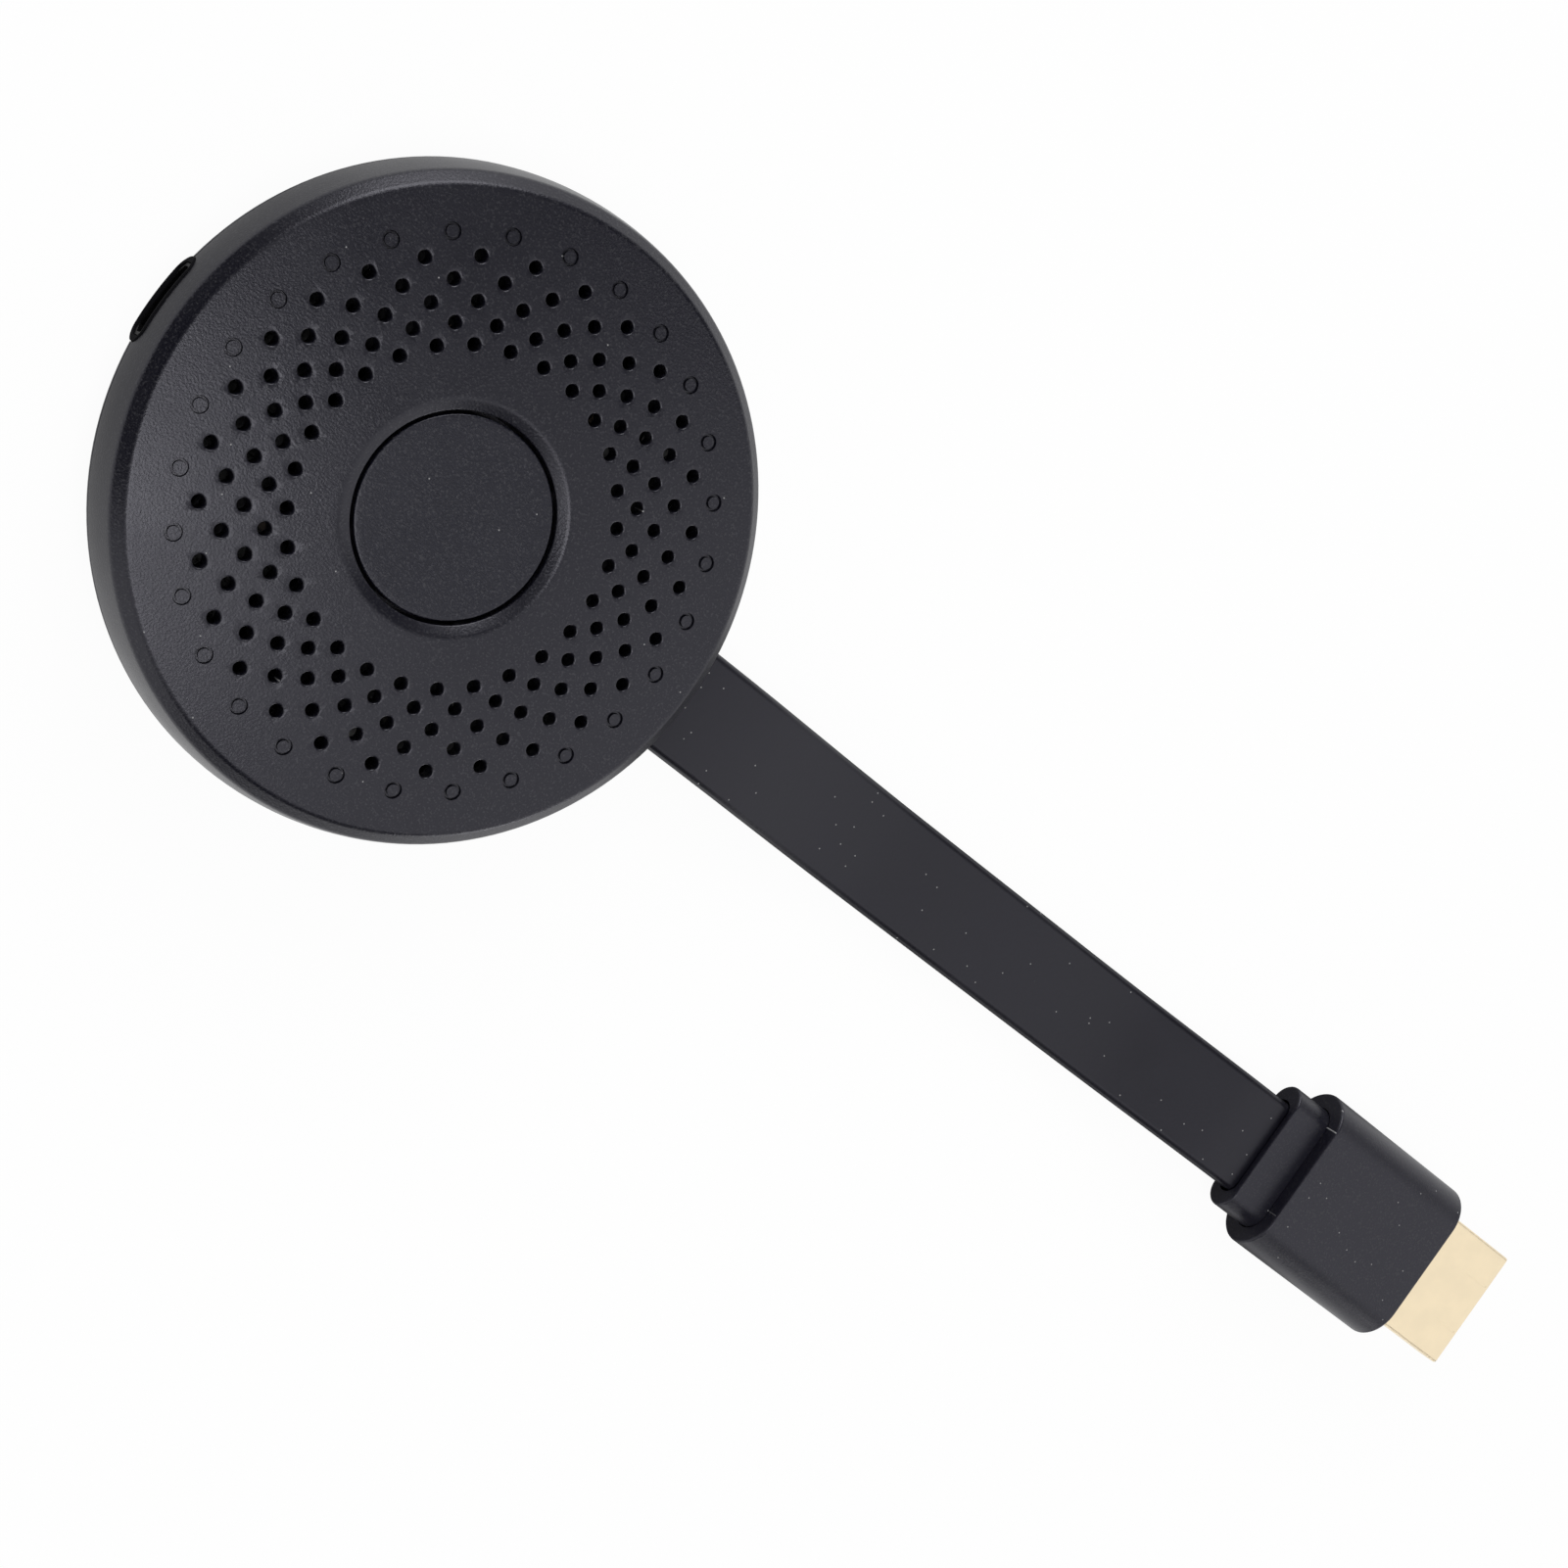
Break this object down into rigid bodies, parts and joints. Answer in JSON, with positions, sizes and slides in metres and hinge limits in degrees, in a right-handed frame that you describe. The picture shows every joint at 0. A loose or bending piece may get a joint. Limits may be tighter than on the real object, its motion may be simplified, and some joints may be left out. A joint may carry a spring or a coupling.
{
  "type": "wireless display adapter",
  "caption": "Round black case with a perforated face and a push button in its centre, a power socket in its rim and a flat cable that ends in a display plug.",
  "frame": {"origin": "centre of the flat underside of the round case", "axes": "+Z out of the perforated face, +X along the cable to the plug, the power socket faces -X"},
  "size_m": [0.1832, 0.061, 0.0128],
  "materials": {
    "case_plastic": "fine grained moulded black",
    "button_plastic": "fine grained moulded black",
    "cable_jacket": "satin black jacket",
    "plug_plastic": "fine grained moulded black",
    "gold_plate": "thin gold plate on a folded sheet",
    "contact_gold": "gold flash",
    "tin_plate": "tin plated sheet",
    "black_nickel": "black nickel plate on a folded sheet",
    "steel": "zinc plated",
    "black_moulding": "moulded nylon",
    "core_moulding": "low pressure moulding",
    "board_laminate": "black solder mask",
    "radio_laminate": "black solder mask",
    "chip_mould": "moulded epoxy",
    "ferrite": "pressed ferrite",
    "capacitor_ceramic": "fired ceramic",
    "heat_pad": "soft silicone",
    "sink_metal": "extruded, sawn and anodised black",
    "bezel_rubber": "matt black insert",
    "led_lens": "clear epoxy",
    "wire_insulation": "extruded insulation"
  },
  "bodies": {
    "case": {"front_shell": "case_plastic", "back_shell": "case_plastic", "switch_body": "black_moulding", "switch_cover": "tin_plate", "switch_dome": "steel", "switch_terminals": "tin_plate", "main_board": "board_laminate", "board_screws": "steel", "processor": "chip_mould", "thermal_pad": "heat_pad", "heat_sink": "sink_metal", "memory_chip": "chip_mould", "flash_chip": "chip_mould", "wifi_board": "radio_laminate", "wifi_shield": "black_nickel", "wifi_antenna": "tin_plate", "crystal": "tin_plate", "power_inductors": "ferrite", "power_regulator": "chip_mould", "ceramic_capacitors": "capacitor_ceramic", "chip_resistors": "chip_mould", "indicator_led": "led_lens", "usb_shell": "black_nickel", "usb_tongue": "black_moulding", "usb_contacts": "contact_gold", "socket_bezel": "bezel_rubber", "board_header": "black_moulding", "header_pins": "contact_gold", "wire_plug": "black_moulding", "signal_wires": "wire_insulation", "cable_tail": "cable_jacket", "cable_grommet": "cable_jacket", "flat_cable": "cable_jacket", "plug_cable_end": "cable_jacket", "plug_collar": "plug_plastic", "plug_body": "plug_plastic", "plug_core": "core_moulding", "plug_shell": "gold_plate", "plug_insulator": "black_moulding", "plug_contacts": "contact_gold"},
    "button": {"mode_button": "button_plastic"},
    "plunger": {"switch_plunger": "black_moulding"}
  },
  "joints": [
    {"name": "button_press", "type": "slide", "parent": "case", "child": "button", "axis": [0, 0, -1], "range_m": [0, 0.0004], "stiffness_N_per_m": 4000},
    {"name": "plunger_travel", "type": "slide", "parent": "case", "child": "plunger", "axis": [0, 0, -1], "range_m": [0, 0.0004], "deforming": ["switch_dome"]}
  ],
  "couplings": [
    {"joint": "plunger_travel", "follows": "button_press", "ratio": 1}
  ]
}
